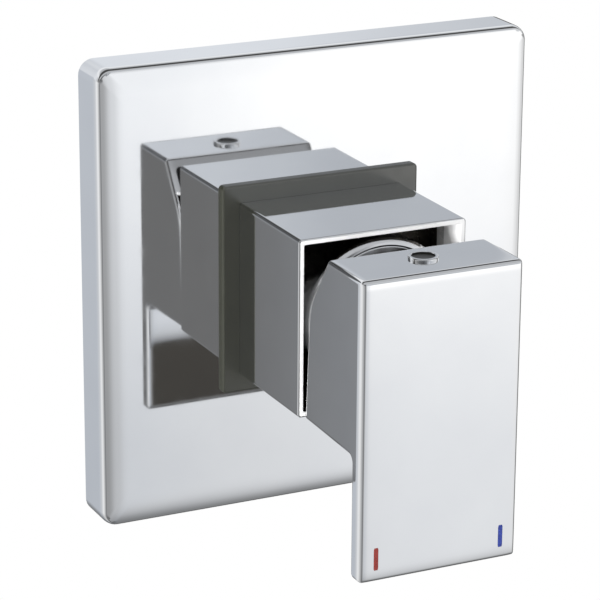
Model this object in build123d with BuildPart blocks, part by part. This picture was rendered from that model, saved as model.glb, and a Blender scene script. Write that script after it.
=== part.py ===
"""Concealed single-lever shower mixer.

Millimetres. +Z is up, +Y runs into the wall and -Y towards the user. The origin lies on the
cartridge axis where it crosses the finished wall. The lever hangs closed and centred.
"""
import os
from math import cos, radians, sin, sqrt

from build123d import *

os.makedirs("parts", exist_ok=True)

# Face plate, a square chromed shell on the finished wall
plate_side = 150.0
plate_depth = 16.0
plate_wall = 2.0
plate_corner = 5.0
plate_edge = 2.5
plate_rise = 0.45           # the plate's middle stands this far above the cartridge axis
foam_width = 8.0
foam_fit = 0.3

# Square sleeve over the valve's neck
sleeve_wall = 1.8
sleeve_gap = 1.3            # from the domed cover's skirt to the sleeve's inner face
sleeve_reach = 45.1         # from the plate's face to the sleeve's rim
sleeve_corner = 1.2
sleeve_rim_round = 0.5
sleeve_tail_gap = 5.0       # from the finished wall to the sleeve's back edge
sleeve_flange = 4.0
washer_thick = 1.0

# Rubber gasket between plate and sleeve
gasket_border = 5.75
gasket_thick = 2.0
gasket_spigot = 3.0
gasket_spigot_depth = 4.0
gasket_corner = 1.5
gasket_edge = 0.8
spigot_fit = 0.2

# Lever: a hollow square head over the sleeve with a flat paddle hanging from it
lever_width = 54.0
lever_top = 26.7            # above the cartridge axis
head_drop = 28.7            # the head's underside below the axis
lever_drop = 68.6           # the paddle's end below the axis
head_depth = 36.4           # from front to back at the height of the axis
head_slope_depth = 12.9     # of that, what the slope takes off at the top
paddle_thick = 6.3
back_gap_low = 1.0          # from the sleeve's rim to the head's back, at its underside
back_gap_mid = 2.9          # the same at the height of the axis
back_slope = 35.0           # degrees off plumb
back_round = 20.0
underside_droop = 1.0
underarm_round = 2.0
lever_edge = 0.8
lever_end_round = 1.5
head_wall = 2.7
boss_wall = 3.5
boss_set_back = 10.5        # from the head's back to the boss's end
screw_share = 0.58          # of the head top's depth, from the front to the set screw's axis
column_r = 7.0

# Set screw, its cap and the temperature marks
set_screw_r = 3.0
set_screw_length = 9.0
set_screw_key = 3.0
key_depth = 3.0
key_access_r = 3.2
cap_dome_r = 4.7
cap_stem_r = 4.2
cap_stem_depth = 5.0
cap_edge = 0.35
cap_dome_rise = 1.3
cap_fit = 0.1
mark_width = 1.5
mark_length = 7.2
mark_depth = 0.4
mark_inset = 5.7            # from a mark to the paddle's side
mark_rise = 7.3             # from the paddle's end to the middle of a mark

# Lever travel
lift_range = 20.0           # degrees
pin_set_back = 7.5          # from the sleeve's rim to the pin's axis
arm = 12.0                  # from the pin's axis to the spindle's ball

# Spindle and its pin
spindle_side = 8.0
spindle_floor_gap = 0.5
socket_fit = 0.05
eye_r = 4.2
tail_r = 2.2
ball_r = 3.4
pin_r = 1.5
pin_inset = 0.4
running_fit = 0.05

# Cartridge, a 40 mm joystick type
cartridge_r = 20.0
seat_fit = 0.1
housing_wall = 2.5
housing_shoulder = 1.1      # the step that the retaining nut presses on
housing_top = 3.0
base_thick = 4.9
locating_peg_r = 1.8
locating_peg_height = 2.5
locating_peg_edge = 3.0     # from a locating peg to the base's edge
fixed_disc_step = 1.0       # from the fixed disc's edge to the housing's wall
fixed_disc_thick = 3.5
disc_film = 0.05
moving_disc_thick = 4.0
carrier_thick = 8.0
tongue_width = 14.0
tongue_length = 12.0
tongue_height = 2.0
slide_fit = 0.1
side_fit = 0.3
ball_fit = 0.2
ball_floor_gap = 0.4
ball_seat = 2.4             # from the ball's middle to the carrier's front face
mouth_flare = 2.0
rotor_flange_step = 0.5     # from the rotor's flange to the housing's wall
rotor_flange = 4.0
rotor_neck_step = 5.0       # from the flange's edge to the rotor's neck
rotor_neck = 11.0
slot_fit = 0.25
sweep_fit = 0.5
top_gap = 0.1
key_peg_r = 1.4
key_fit = 0.1
key_peg_height = 2.5
drive_peg_r = 1.7
drive_peg_height = 1.2
drive_peg_edge = 1.1        # from a drive peg to the carrier's edge
peg_floor_gap = 0.1

# Waterways in the seat, the base and the discs: the outlet on the axis, the inlets below it
port_gap = 1.4              # between the outlet's seal and an inlet's
disc_cover = 0.5            # what the moving disc overlaps an inlet by when it is furthest off
inlet_angle = 45.0          # degrees off plumb, the rotor's travel to each side
disc_land = 0.7             # between the closed recess and an inlet
recess_depth = 1.8

# Seals
port_seal_lip = 0.1         # from a waterway to its seal
seal_cord_r = 0.65
seal_fit = 0.05
ring_cord_r = 0.9

# Temperature limit ring
limit_inner_gap = 0.4
limit_step = 2.4            # from the ring's edge to the housing's neck
limit_thick = 3.0
limit_notches = 16
limit_notch_r = 0.8

# Retaining nut, threaded into the neck's mouth
nut_cover = 1.5             # the nut's thread stands this far outside the cartridge
nut_bore_fit = 0.15
nut_thread_length = 9.0
nut_head = 5.0
nut_flat_step = 1.5         # from the nut's thread to its flats
nut_fit = 0.05

# Domed cover ring, screwed on the neck's outer thread
cover_fit = 0.05
cover_skirt = 1.95
cover_set_back = 0.6        # its rim behind the sleeve's rim
cover_dome_inset = 1.5
cover_dome_step = 0.5
cover_dome_rise = 3.6
cover_wall = 1.5
cover_hole_r = 10.8
cover_edge = 0.8

# Brass valve body in the wall
neck_mouth_wall = 1.95
neck_shoulder = 1.7
neck_mouth_gap = 11.0       # from the sleeve's rim to the neck's mouth
cover_thread_length = 10.0
chamber_step = 1.8
chamber_front = 8.0
chamber_back = 50.0
port_y = 29.0
port_reach = 48.0
port_boss_wall = 4.2
port_hex_wall = 5.7         # from the bore to the hexagon's flats
port_hex_length = 12.0
port_bore_r = 9.3           # minor radius of a half-inch pipe thread
port_bore_depth = 15.0
port_lead = 1.0
inlet_way_r = 8.0
outlet_way_r = 4.0
lug_spacing = 70.0
lug_width = 16.0
lug_thick = 5.0
lug_hole_r = 2.75

# Plug in the lower outlet
plug_thread_length = 11.0
plug_thread_fit = 0.1
plug_head = 7.0
plug_head_lip = 0.2         # from the O-ring to the hexagon's flats
plug_key = 10.0
plug_key_depth = 5.0
plug_ring_gap = 0.7         # from the port's bore to the O-ring

# Radii and widths, from the cartridge outwards
housing_bore_r = cartridge_r - housing_wall
housing_neck_r = cartridge_r - housing_shoulder
fixed_disc_r = housing_bore_r - fixed_disc_step
rotor_flange_r = housing_bore_r - rotor_flange_step
slide_travel = arm * sin(radians(lift_range))
rotor_neck_r = rotor_flange_r - rotor_neck_step
moving_disc_r = housing_bore_r - slide_travel - side_fit
limit_r = housing_neck_r - limit_step
nut_thread_r = cartridge_r + nut_cover
nut_bore_r = housing_neck_r + nut_bore_fit
nut_across_flats = 2 * (nut_thread_r - nut_flat_step)
neck_thread_r = nut_thread_r + nut_fit + neck_mouth_wall
neck_r = neck_thread_r + neck_shoulder
chamber_r = neck_r + chamber_step
cover_thread_r = neck_thread_r + cover_fit
cover_r = cover_thread_r + cover_skirt
cover_dome_r = cover_r - cover_dome_inset
sleeve_side = 2 * (cover_r + sleeve_gap + sleeve_wall)
bore_half = sleeve_side / 2 - sleeve_wall

# Waterways: as wide as the seals' spacing and the moving disc's cover at its furthest allow
cover_reach = moving_disc_r - disc_cover
seal_band = 2 * port_seal_lip + 4 * seal_cord_r + port_gap
band_reach = 2 * seal_band + cover_reach
spare_square = cover_reach**2 - seal_band**2 - slide_travel**2
waterway_r = (sqrt(band_reach**2 + 3 * spare_square) - band_reach) / 3
inlet_ring_r = 2 * waterway_r + seal_band
inlet_x = inlet_ring_r * sin(radians(inlet_angle))
inlet_z = -inlet_ring_r * cos(radians(inlet_angle))
inlet_places = ((-inlet_x, inlet_z), (inlet_x, inlet_z))
waterway_places = (*inlet_places, (0, 0))
recess_r = inlet_ring_r - waterway_r - disc_land
port_seal_r = waterway_r + port_seal_lip + seal_cord_r
locating_place = cartridge_r - locating_peg_edge - locating_peg_r
port_boss_r = port_bore_r + port_boss_wall
port_hex = 2 * (port_bore_r + port_hex_wall)
plug_ring_r = port_bore_r + plug_ring_gap + ring_cord_r
plug_hex = 2 * (plug_ring_r + ring_cord_r + plug_head_lip)

# Places along the cartridge axis, front to back
cut_over = 1.0
plate_front = -plate_depth
rim_y = plate_front - sleeve_reach
back_low = rim_y - back_gap_low
back_mid = rim_y - back_gap_mid
head_back_top = back_mid - head_slope_depth
lever_front = back_mid - head_depth
paddle_back = lever_front + paddle_thick
pin_y = rim_y + pin_set_back
ball_y = pin_y + arm
carrier_front = ball_y - ball_seat
tongue_front = carrier_front - tongue_height
carrier_back = carrier_front + carrier_thick
moving_disc_back = carrier_back + moving_disc_thick
fixed_disc_front = moving_disc_back + disc_film
fixed_disc_back = fixed_disc_front + fixed_disc_thick
seat_y = fixed_disc_back + base_thick
rotor_back = carrier_front - slide_fit
rotor_shoulder = rotor_back - rotor_flange
rotor_front = rotor_shoulder - rotor_neck
housing_inside = rotor_shoulder - top_gap
housing_front = housing_inside - housing_top
mouth_y = rim_y + neck_mouth_gap
nut_floor = mouth_y + nut_thread_length
cover_back = mouth_y + cover_thread_length
flange_back = cover_back + sleeve_flange
shoulder_y = flange_back + washer_thick
cover_front = rim_y + cover_set_back
column_y = lever_front + screw_share * (head_back_top - lever_front)
pocket_floor = lever_front + head_wall
spindle_end = pocket_floor + head_wall + spindle_floor_gap
boss_side = spindle_side + 2 * (socket_fit + boss_wall)
screw_top = spindle_side / 2 + set_screw_length
mark_offset = lever_width / 2 - mark_inset
mark_drop = lever_drop - mark_rise


def facing_user(y):
    """A plane square to the cartridge axis at y, as the user sees it: x right, y up."""
    return Plane(origin=(0, y, 0), x_dir=(1, 0, 0), z_dir=(0, -1, 0))


def looking_down(z):
    """A level plane at height z, with its y running into the wall."""
    return Plane(origin=(0, 0, z), x_dir=(1, 0, 0), z_dir=(0, 0, 1))


# Face plate: a deep tray with a square hole for the gasket's spigot
spigot_side = sleeve_side + 2 * gasket_spigot
with BuildPart() as face_plate:
    with BuildSketch(facing_user(0)):
        with Locations((0, plate_rise)):
            RectangleRounded(plate_side, plate_side, plate_corner)
    extrude(amount=plate_depth)
    fillet(face_plate.faces().sort_by(Axis.Y)[0].edges(), plate_edge)
    with BuildSketch(facing_user(0)):
        with Locations((0, plate_rise)):
            inside = plate_side - 2 * plate_wall
            RectangleRounded(inside, inside, plate_corner - plate_wall)
    extrude(amount=plate_depth - plate_wall, mode=Mode.SUBTRACT)
    with BuildSketch(facing_user(0)):
        hole_side = spigot_side + 2 * spigot_fit
        RectangleRounded(hole_side, hole_side, gasket_corner)
    extrude(amount=plate_depth, mode=Mode.SUBTRACT)
face_plate.part.label = "face_plate"
export_step(face_plate.part, "parts/face_plate.step")

# Foam seal: a frame inside the plate's rim, squeezed against the tiles
with BuildPart() as wall_seal:
    with BuildSketch(facing_user(0)):
        with Locations((0, plate_rise)):
            foam_side = plate_side - 2 * (plate_wall + foam_fit)
            RectangleRounded(foam_side, foam_side, plate_corner - plate_wall)
            foam_inside = foam_side - 2 * foam_width
            Rectangle(foam_inside, foam_inside, mode=Mode.SUBTRACT)
    extrude(amount=plate_depth - plate_wall)
wall_seal.part.label = "wall_seal"
export_step(wall_seal.part, "parts/wall_seal.step")

# Gasket: a rubber frame on the plate's face, with a spigot that grips the sleeve
with BuildPart() as sleeve_gasket:
    with BuildSketch(facing_user(plate_front)):
        frame_side = sleeve_side + 2 * gasket_border
        RectangleRounded(frame_side, frame_side, gasket_corner)
    extrude(amount=gasket_thick)
    fillet(sleeve_gasket.faces().sort_by(Axis.Y)[0].edges(), gasket_edge)
    with BuildSketch(facing_user(plate_front + gasket_spigot_depth)):
        RectangleRounded(spigot_side, spigot_side, gasket_corner)
    extrude(amount=gasket_spigot_depth)
    with BuildSketch(facing_user(plate_front + gasket_spigot_depth)):
        RectangleRounded(sleeve_side, sleeve_side, sleeve_corner)
    extrude(amount=gasket_spigot_depth + gasket_thick, mode=Mode.SUBTRACT)
sleeve_gasket.part.label = "sleeve_gasket"
export_step(sleeve_gasket.part, "parts/sleeve_gasket.step")

# Sleeve: a square tube, clamped by an inner flange between the neck and the cover
with BuildPart() as square_sleeve:
    with BuildSketch(facing_user(-sleeve_tail_gap)):
        RectangleRounded(sleeve_side, sleeve_side, sleeve_corner)
    extrude(amount=-rim_y - sleeve_tail_gap)
    fillet(square_sleeve.faces().sort_by(Axis.Y)[0].edges(), sleeve_rim_round)
    with BuildSketch(facing_user(cover_back)):
        Rectangle(2 * bore_half, 2 * bore_half)
    extrude(amount=cover_back - rim_y, mode=Mode.SUBTRACT)
    with BuildSketch(facing_user(-sleeve_tail_gap)):
        Rectangle(2 * bore_half, 2 * bore_half)
    extrude(amount=-sleeve_tail_gap - flange_back, mode=Mode.SUBTRACT)
    with BuildSketch(facing_user(flange_back)):
        Circle(neck_thread_r + seat_fit)
    extrude(amount=sleeve_flange, mode=Mode.SUBTRACT)
square_sleeve.part.label = "square_sleeve"
export_step(square_sleeve.part, "parts/square_sleeve.step")

# Fibre washer between the neck's shoulder and the sleeve's flange
with BuildPart() as sleeve_washer:
    with BuildSketch(facing_user(shoulder_y)):
        Circle(neck_r)
        Circle(neck_thread_r + seat_fit, mode=Mode.SUBTRACT)
    extrude(amount=washer_thick)
sleeve_washer.part.label = "sleeve_washer"
export_step(sleeve_washer.part, "parts/sleeve_washer.step")


# Valve body: brass casting with four ports, four lugs and the neck that holds the cartridge
def port_mouth(angle):
    """The mouth plane of the port that leaves the chamber at this angle, facing outwards."""
    out = Vector(cos(radians(angle)), 0, sin(radians(angle)))
    return Plane(origin=out * port_reach + Vector(0, port_y, 0), x_dir=(0, 1, 0), z_dir=out)


with BuildPart() as valve_body:
    with BuildSketch(facing_user(chamber_back)):
        Circle(chamber_r)
    extrude(amount=chamber_back - chamber_front)
    with BuildSketch(facing_user(chamber_front)):
        Circle(neck_r)
    extrude(amount=chamber_front - shoulder_y)
    with BuildSketch(facing_user(shoulder_y)):
        Circle(neck_thread_r)
    extrude(amount=shoulder_y - mouth_y)
    with BuildSketch(facing_user(chamber_back)):
        SlotCenterToCenter(lug_spacing * sqrt(2), lug_width, rotation=45)
        SlotCenterToCenter(lug_spacing * sqrt(2), lug_width, rotation=-45)
        with GridLocations(lug_spacing, lug_spacing, 2, 2):
            Circle(lug_hole_r, mode=Mode.SUBTRACT)
    extrude(amount=lug_thick)
    for angle in (0, 90, 180, 270):
        with BuildSketch(port_mouth(angle)):
            Circle(port_boss_r)
        extrude(amount=-port_reach)
        with BuildSketch(port_mouth(angle)):
            RegularPolygon(port_hex / 2, 6, major_radius=False)
        extrude(amount=-port_hex_length)
    for angle, way_r, way_end in (
        (0, inlet_way_r, inlet_x),
        (180, inlet_way_r, inlet_x),
        (90, outlet_way_r, 0),
        (270, outlet_way_r, 0),
    ):
        with BuildSketch(port_mouth(angle)):
            Circle(port_bore_r)
        extrude(amount=-port_bore_depth, mode=Mode.SUBTRACT)
        with BuildSketch(port_mouth(angle)):
            Circle(port_bore_r + port_lead)
        extrude(amount=-port_lead, taper=45, mode=Mode.SUBTRACT)
        with BuildSketch(port_mouth(angle)):
            Circle(way_r)
        extrude(amount=way_end - port_reach, mode=Mode.SUBTRACT)
    with BuildSketch(facing_user(seat_y)):
        Circle(cartridge_r + seat_fit)
    extrude(amount=seat_y - mouth_y, mode=Mode.SUBTRACT)
    with BuildSketch(facing_user(nut_floor)):
        Circle(nut_thread_r + nut_fit)
    extrude(amount=nut_floor - mouth_y, mode=Mode.SUBTRACT)
    inlet_end = port_y - outlet_way_r
    with BuildSketch(facing_user(inlet_end)):
        with Locations(*inlet_places):
            Circle(waterway_r)
    extrude(amount=inlet_end - seat_y, mode=Mode.SUBTRACT)
    with BuildSketch(facing_user(port_y)):
        Circle(waterway_r)
    extrude(amount=port_y - seat_y, mode=Mode.SUBTRACT)
    with BuildSketch(facing_user(seat_y + locating_peg_height + peg_floor_gap)):
        with Locations((0, -locating_place), (0, locating_place)):
            Circle(locating_peg_r + key_fit)
    extrude(amount=locating_peg_height + peg_floor_gap, mode=Mode.SUBTRACT)
valve_body.part.label = "valve_body"
export_step(valve_body.part, "parts/valve_body.step")

# Plug that closes the lower outlet, with a hexagon socket
plug_face = -port_reach - 2 * ring_cord_r
with BuildPart() as outlet_plug:
    with BuildSketch(Plane(origin=(0, port_y, plug_face), z_dir=(0, 0, 1))):
        Circle(port_bore_r - plug_thread_fit)
    extrude(amount=plug_thread_length)
    with BuildSketch(Plane(origin=(0, port_y, plug_face), z_dir=(0, 0, 1))):
        RegularPolygon(plug_hex / 2, 6, major_radius=False)
    extrude(amount=-plug_head)
    with BuildSketch(Plane(origin=(0, port_y, plug_face - plug_head), z_dir=(0, 0, 1))):
        RegularPolygon(plug_key / 2, 6, major_radius=False)
    extrude(amount=plug_key_depth, mode=Mode.SUBTRACT)
outlet_plug.part.label = "outlet_plug"
export_step(outlet_plug.part, "parts/outlet_plug.step")

# O-ring under the plug's head
ring_middle = -port_reach - ring_cord_r
with BuildPart(Plane(origin=(0, port_y, ring_middle), z_dir=(0, 0, 1))) as plug_o_ring:
    Torus(plug_ring_r, ring_cord_r - seal_fit)
plug_o_ring.part.label = "plug_o_ring"
export_step(plug_o_ring.part, "parts/plug_o_ring.step")

# Cartridge base: seals against the valve's seat and carries the fixed disc
groove_depth = 2 * ring_cord_r
groove_middle = seat_y - base_thick / 2
with BuildPart() as cartridge_base:
    with BuildSketch(facing_user(seat_y)):
        Circle(cartridge_r)
        with Locations(*waterway_places):
            Circle(waterway_r, mode=Mode.SUBTRACT)
    extrude(amount=base_thick)
    with BuildSketch(facing_user(seat_y)):
        with Locations(*waterway_places):
            Circle(port_seal_r + seal_cord_r)
    extrude(amount=2 * seal_cord_r, mode=Mode.SUBTRACT)
    with BuildSketch(facing_user(groove_middle + ring_cord_r)):
        Circle(cartridge_r)
        Circle(cartridge_r - groove_depth, mode=Mode.SUBTRACT)
    extrude(amount=2 * ring_cord_r, mode=Mode.SUBTRACT)
    with BuildSketch(facing_user(fixed_disc_back)):
        with Locations((-fixed_disc_r, 0), (fixed_disc_r, 0)):
            Circle(key_peg_r)
        Circle(housing_bore_r - key_fit, mode=Mode.INTERSECT)
    extrude(amount=key_peg_height)
    with BuildSketch(facing_user(seat_y + locating_peg_height)):
        with Locations((0, -locating_place), (0, locating_place)):
            Circle(locating_peg_r)
    extrude(amount=locating_peg_height)
cartridge_base.part.label = "cartridge_base"
export_step(cartridge_base.part, "parts/cartridge_base.step")

# Three port seals under the base
with BuildPart(facing_user(seat_y - seal_cord_r)) as port_seals:
    with Locations(*waterway_places):
        Torus(port_seal_r, seal_cord_r - seal_fit)
port_seals.part.label = "port_seals"
export_step(port_seals.part, "parts/port_seals.step")

# O-ring round the base
with BuildPart(facing_user(groove_middle)) as base_o_ring:
    Torus(cartridge_r - ring_cord_r, ring_cord_r - seal_fit)
base_o_ring.part.label = "base_o_ring"
export_step(base_o_ring.part, "parts/base_o_ring.step")

# Fixed ceramic disc, keyed by two pegs on the base
with BuildPart() as fixed_disc:
    with BuildSketch(facing_user(fixed_disc_back)):
        Circle(fixed_disc_r)
        with Locations(*waterway_places):
            Circle(waterway_r, mode=Mode.SUBTRACT)
        with Locations((-fixed_disc_r, 0), (fixed_disc_r, 0)):
            Circle(key_peg_r + key_fit, mode=Mode.SUBTRACT)
    extrude(amount=fixed_disc_thick)
fixed_disc.part.label = "fixed_disc"
export_step(fixed_disc.part, "parts/fixed_disc.step")

# Moving ceramic disc: a mixing recess on its back, two drive holes on its front
drive_place = (moving_disc_r - drive_peg_edge - drive_peg_r) * sin(radians(inlet_angle))
drive_places = ((-drive_place, -drive_place), (drive_place, -drive_place))
with BuildPart() as moving_disc:
    with BuildSketch(facing_user(moving_disc_back)):
        Circle(moving_disc_r)
    extrude(amount=moving_disc_thick)
    with BuildSketch(facing_user(moving_disc_back)):
        Circle(recess_r)
    extrude(amount=recess_depth, mode=Mode.SUBTRACT)
    with BuildSketch(facing_user(carrier_back)):
        with Locations(*drive_places):
            Circle(drive_peg_r + key_fit)
    extrude(amount=-drive_peg_height - peg_floor_gap, mode=Mode.SUBTRACT)
moving_disc.part.label = "moving_disc"
export_step(moving_disc.part, "parts/moving_disc.step")

# Disc carrier: pushed by the spindle's ball, steered by a tongue in the rotor
socket_r = ball_r + ball_fit
socket_floor = ball_y + ball_r + ball_floor_gap
flare_back = tongue_front + tongue_height + slide_fit
with BuildPart() as disc_carrier:
    with BuildSketch(facing_user(carrier_back)):
        Circle(moving_disc_r)
    extrude(amount=carrier_thick)
    with BuildSketch(facing_user(carrier_front)):
        Rectangle(tongue_width, tongue_length)
    extrude(amount=tongue_height)
    with BuildSketch(facing_user(carrier_back)):
        with Locations(*drive_places):
            Circle(drive_peg_r)
    extrude(amount=-drive_peg_height)
    with BuildSketch(facing_user(socket_floor)):
        Circle(socket_r)
    extrude(amount=socket_floor - tongue_front, mode=Mode.SUBTRACT)
    with BuildSketch(facing_user(flare_back)):
        Circle(socket_r)
    with BuildSketch(facing_user(tongue_front)):
        Circle(socket_r + mouth_flare)
    loft(mode=Mode.SUBTRACT)
disc_carrier.part.label = "disc_carrier"
export_step(disc_carrier.part, "parts/disc_carrier.step")

# Housing: the plastic cup that keeps rotor, carrier and discs together
with BuildPart() as cartridge_housing:
    with BuildSketch(facing_user(fixed_disc_back)):
        Circle(cartridge_r)
    extrude(amount=fixed_disc_back - nut_floor)
    with BuildSketch(facing_user(nut_floor)):
        Circle(housing_neck_r)
    extrude(amount=nut_floor - housing_front)
    with BuildSketch(facing_user(fixed_disc_back)):
        Circle(housing_bore_r)
    extrude(amount=fixed_disc_back - housing_inside, mode=Mode.SUBTRACT)
    with BuildSketch(facing_user(housing_inside)):
        Circle(rotor_neck_r + running_fit)
    extrude(amount=housing_top, mode=Mode.SUBTRACT)
cartridge_housing.part.label = "cartridge_housing"
export_step(cartridge_housing.part, "parts/cartridge_housing.step")

# Limit ring: set on its notches, it stops the rotor before the water gets too hot
with BuildPart() as limit_ring:
    with BuildSketch(facing_user(housing_front)):
        Circle(limit_r)
        Circle(rotor_neck_r + limit_inner_gap, mode=Mode.SUBTRACT)
        with PolarLocations(limit_r, limit_notches):
            Circle(limit_notch_r, mode=Mode.SUBTRACT)
    extrude(amount=limit_thick)
limit_ring.part.label = "limit_ring"
export_step(limit_ring.part, "parts/limit_ring.step")

# Retaining nut: presses the housing's shoulder on to the seat
with BuildPart() as retaining_nut:
    with BuildSketch(facing_user(nut_floor)):
        Circle(nut_thread_r)
    extrude(amount=nut_thread_length)
    with BuildSketch(facing_user(mouth_y)):
        RegularPolygon(nut_across_flats / 2, 6, major_radius=False)
    extrude(amount=nut_head)
    with BuildSketch(facing_user(nut_floor)):
        Circle(nut_bore_r)
    extrude(amount=nut_thread_length + nut_head, mode=Mode.SUBTRACT)
retaining_nut.part.label = "retaining_nut"
export_step(retaining_nut.part, "parts/retaining_nut.step")

# Domed cover: a spun ring on the neck's thread that clamps the sleeve
dome_base = cover_front - cover_dome_step
dome_apex = dome_base - cover_dome_rise
dome_radius = (cover_dome_r**2 + cover_dome_rise**2) / (2 * cover_dome_rise)
dome_centre = dome_apex + dome_radius


def on_dome(r, inset):
    """The point of the dome at radius r, or of the surface this far inside it."""
    return (r, dome_centre - sqrt((dome_radius - inset) ** 2 - r**2))


middle_r = (cover_hole_r + cover_dome_r) / 2
with BuildPart() as dome_cover:
    with BuildSketch(Plane.XY):
        with BuildLine():
            outer = ThreePointArc(
                on_dome(cover_hole_r, 0), on_dome(middle_r, 0), on_dome(cover_dome_r, 0)
            )
            step = Line(outer @ 1, (cover_dome_r, cover_front))
            rim = Line(step @ 1, (cover_r - cover_edge, cover_front))
            edge = TangentArc(rim @ 1, (cover_r, cover_front + cover_edge), tangent=rim % 1)
            skirt = Line(edge @ 1, (cover_r, cover_back))
            end = Line(skirt @ 1, (cover_thread_r, cover_back))
            inner_top = on_dome(cover_thread_r, cover_wall)
            wall = Line(end @ 1, inner_top)
            inner = ThreePointArc(
                wall @ 1, on_dome(middle_r, cover_wall), on_dome(cover_hole_r, cover_wall)
            )
            Line(inner @ 1, outer @ 0)
        make_face()
    revolve(axis=Axis.Y)
dome_cover.part.label = "dome_cover"
export_step(dome_cover.part, "parts/dome_cover.step")

# Rotor: turns in the housing, carries the pin and steers the carrier's tongue
front_reach = pin_y - rotor_front
slot_high = (front_reach * sin(radians(lift_range)) + spindle_side / 2) / cos(radians(lift_range))
back_reach = rotor_back - pin_y
slot_low = (back_reach * sin(radians(lift_range)) + tail_r) / cos(radians(lift_range))
with BuildPart() as rotor:
    with BuildSketch(facing_user(rotor_back)):
        Circle(rotor_flange_r)
    extrude(amount=rotor_flange)
    with BuildSketch(facing_user(rotor_shoulder)):
        Circle(rotor_neck_r)
    extrude(amount=rotor_neck)
    with BuildSketch(facing_user(rotor_back)):
        groove_top = tongue_length / 2 + side_fit
        groove_bottom = -tongue_length / 2 - slide_travel - side_fit
        with Locations((0, (groove_top + groove_bottom) / 2)):
            Rectangle(tongue_width + 2 * slide_fit, groove_top - groove_bottom)
    extrude(amount=tongue_height + slide_fit, mode=Mode.SUBTRACT)
    with BuildSketch(Plane.YZ) as spindle_slot:
        with Locations((pin_y, 0)):
            Circle(eye_r + slot_fit)
        front_slot = slot_high + spindle_side / 2 + 2 * sweep_fit
        with Locations((pin_y - front_reach / 2 - cut_over / 2, (slot_high - spindle_side / 2) / 2)):
            Rectangle(front_reach + cut_over, front_slot)
        back_slot = slot_low + tail_r + 2 * sweep_fit
        with Locations((pin_y + back_reach / 2 + cut_over / 2, (tail_r - slot_low) / 2)):
            Rectangle(back_reach + cut_over, back_slot)
    extrude(amount=spindle_side / 2 + slot_fit, both=True, mode=Mode.SUBTRACT)
    with BuildSketch(Plane.YZ):
        with Locations((pin_y, 0)):
            Circle(pin_r)
    extrude(amount=rotor_neck_r, both=True, mode=Mode.SUBTRACT)
rotor.part.label = "rotor"
export_step(rotor.part, "parts/rotor.step")

# Pin: pressed across the rotor's neck, through the spindle's eye
with BuildPart() as lever_pin:
    with BuildSketch(Plane.YZ):
        with Locations((pin_y, 0)):
            Circle(pin_r)
    extrude(amount=rotor_neck_r - pin_inset, both=True)
lever_pin.part.label = "lever_pin"
export_step(lever_pin.part, "parts/lever_pin.step")

# Spindle: square bar for the lever, an eye on the pin and a ball in the carrier
with BuildPart() as spindle:
    with BuildSketch(facing_user(pin_y)):
        Rectangle(spindle_side, spindle_side)
    extrude(amount=pin_y - spindle_end)
    with BuildSketch(Plane.YZ):
        with Locations((pin_y, 0)):
            Circle(eye_r)
    extrude(amount=spindle_side / 2, both=True)
    with BuildSketch(facing_user(ball_y)):
        Circle(tail_r)
    extrude(amount=arm)
    with Locations((0, ball_y, 0)):
        Sphere(ball_r)
    with BuildSketch(Plane.YZ):
        with Locations((pin_y, 0)):
            Circle(pin_r + running_fit)
    extrude(amount=spindle_side, both=True, mode=Mode.SUBTRACT)
spindle.part.label = "spindle"
export_step(spindle.part, "parts/spindle.step")

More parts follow.
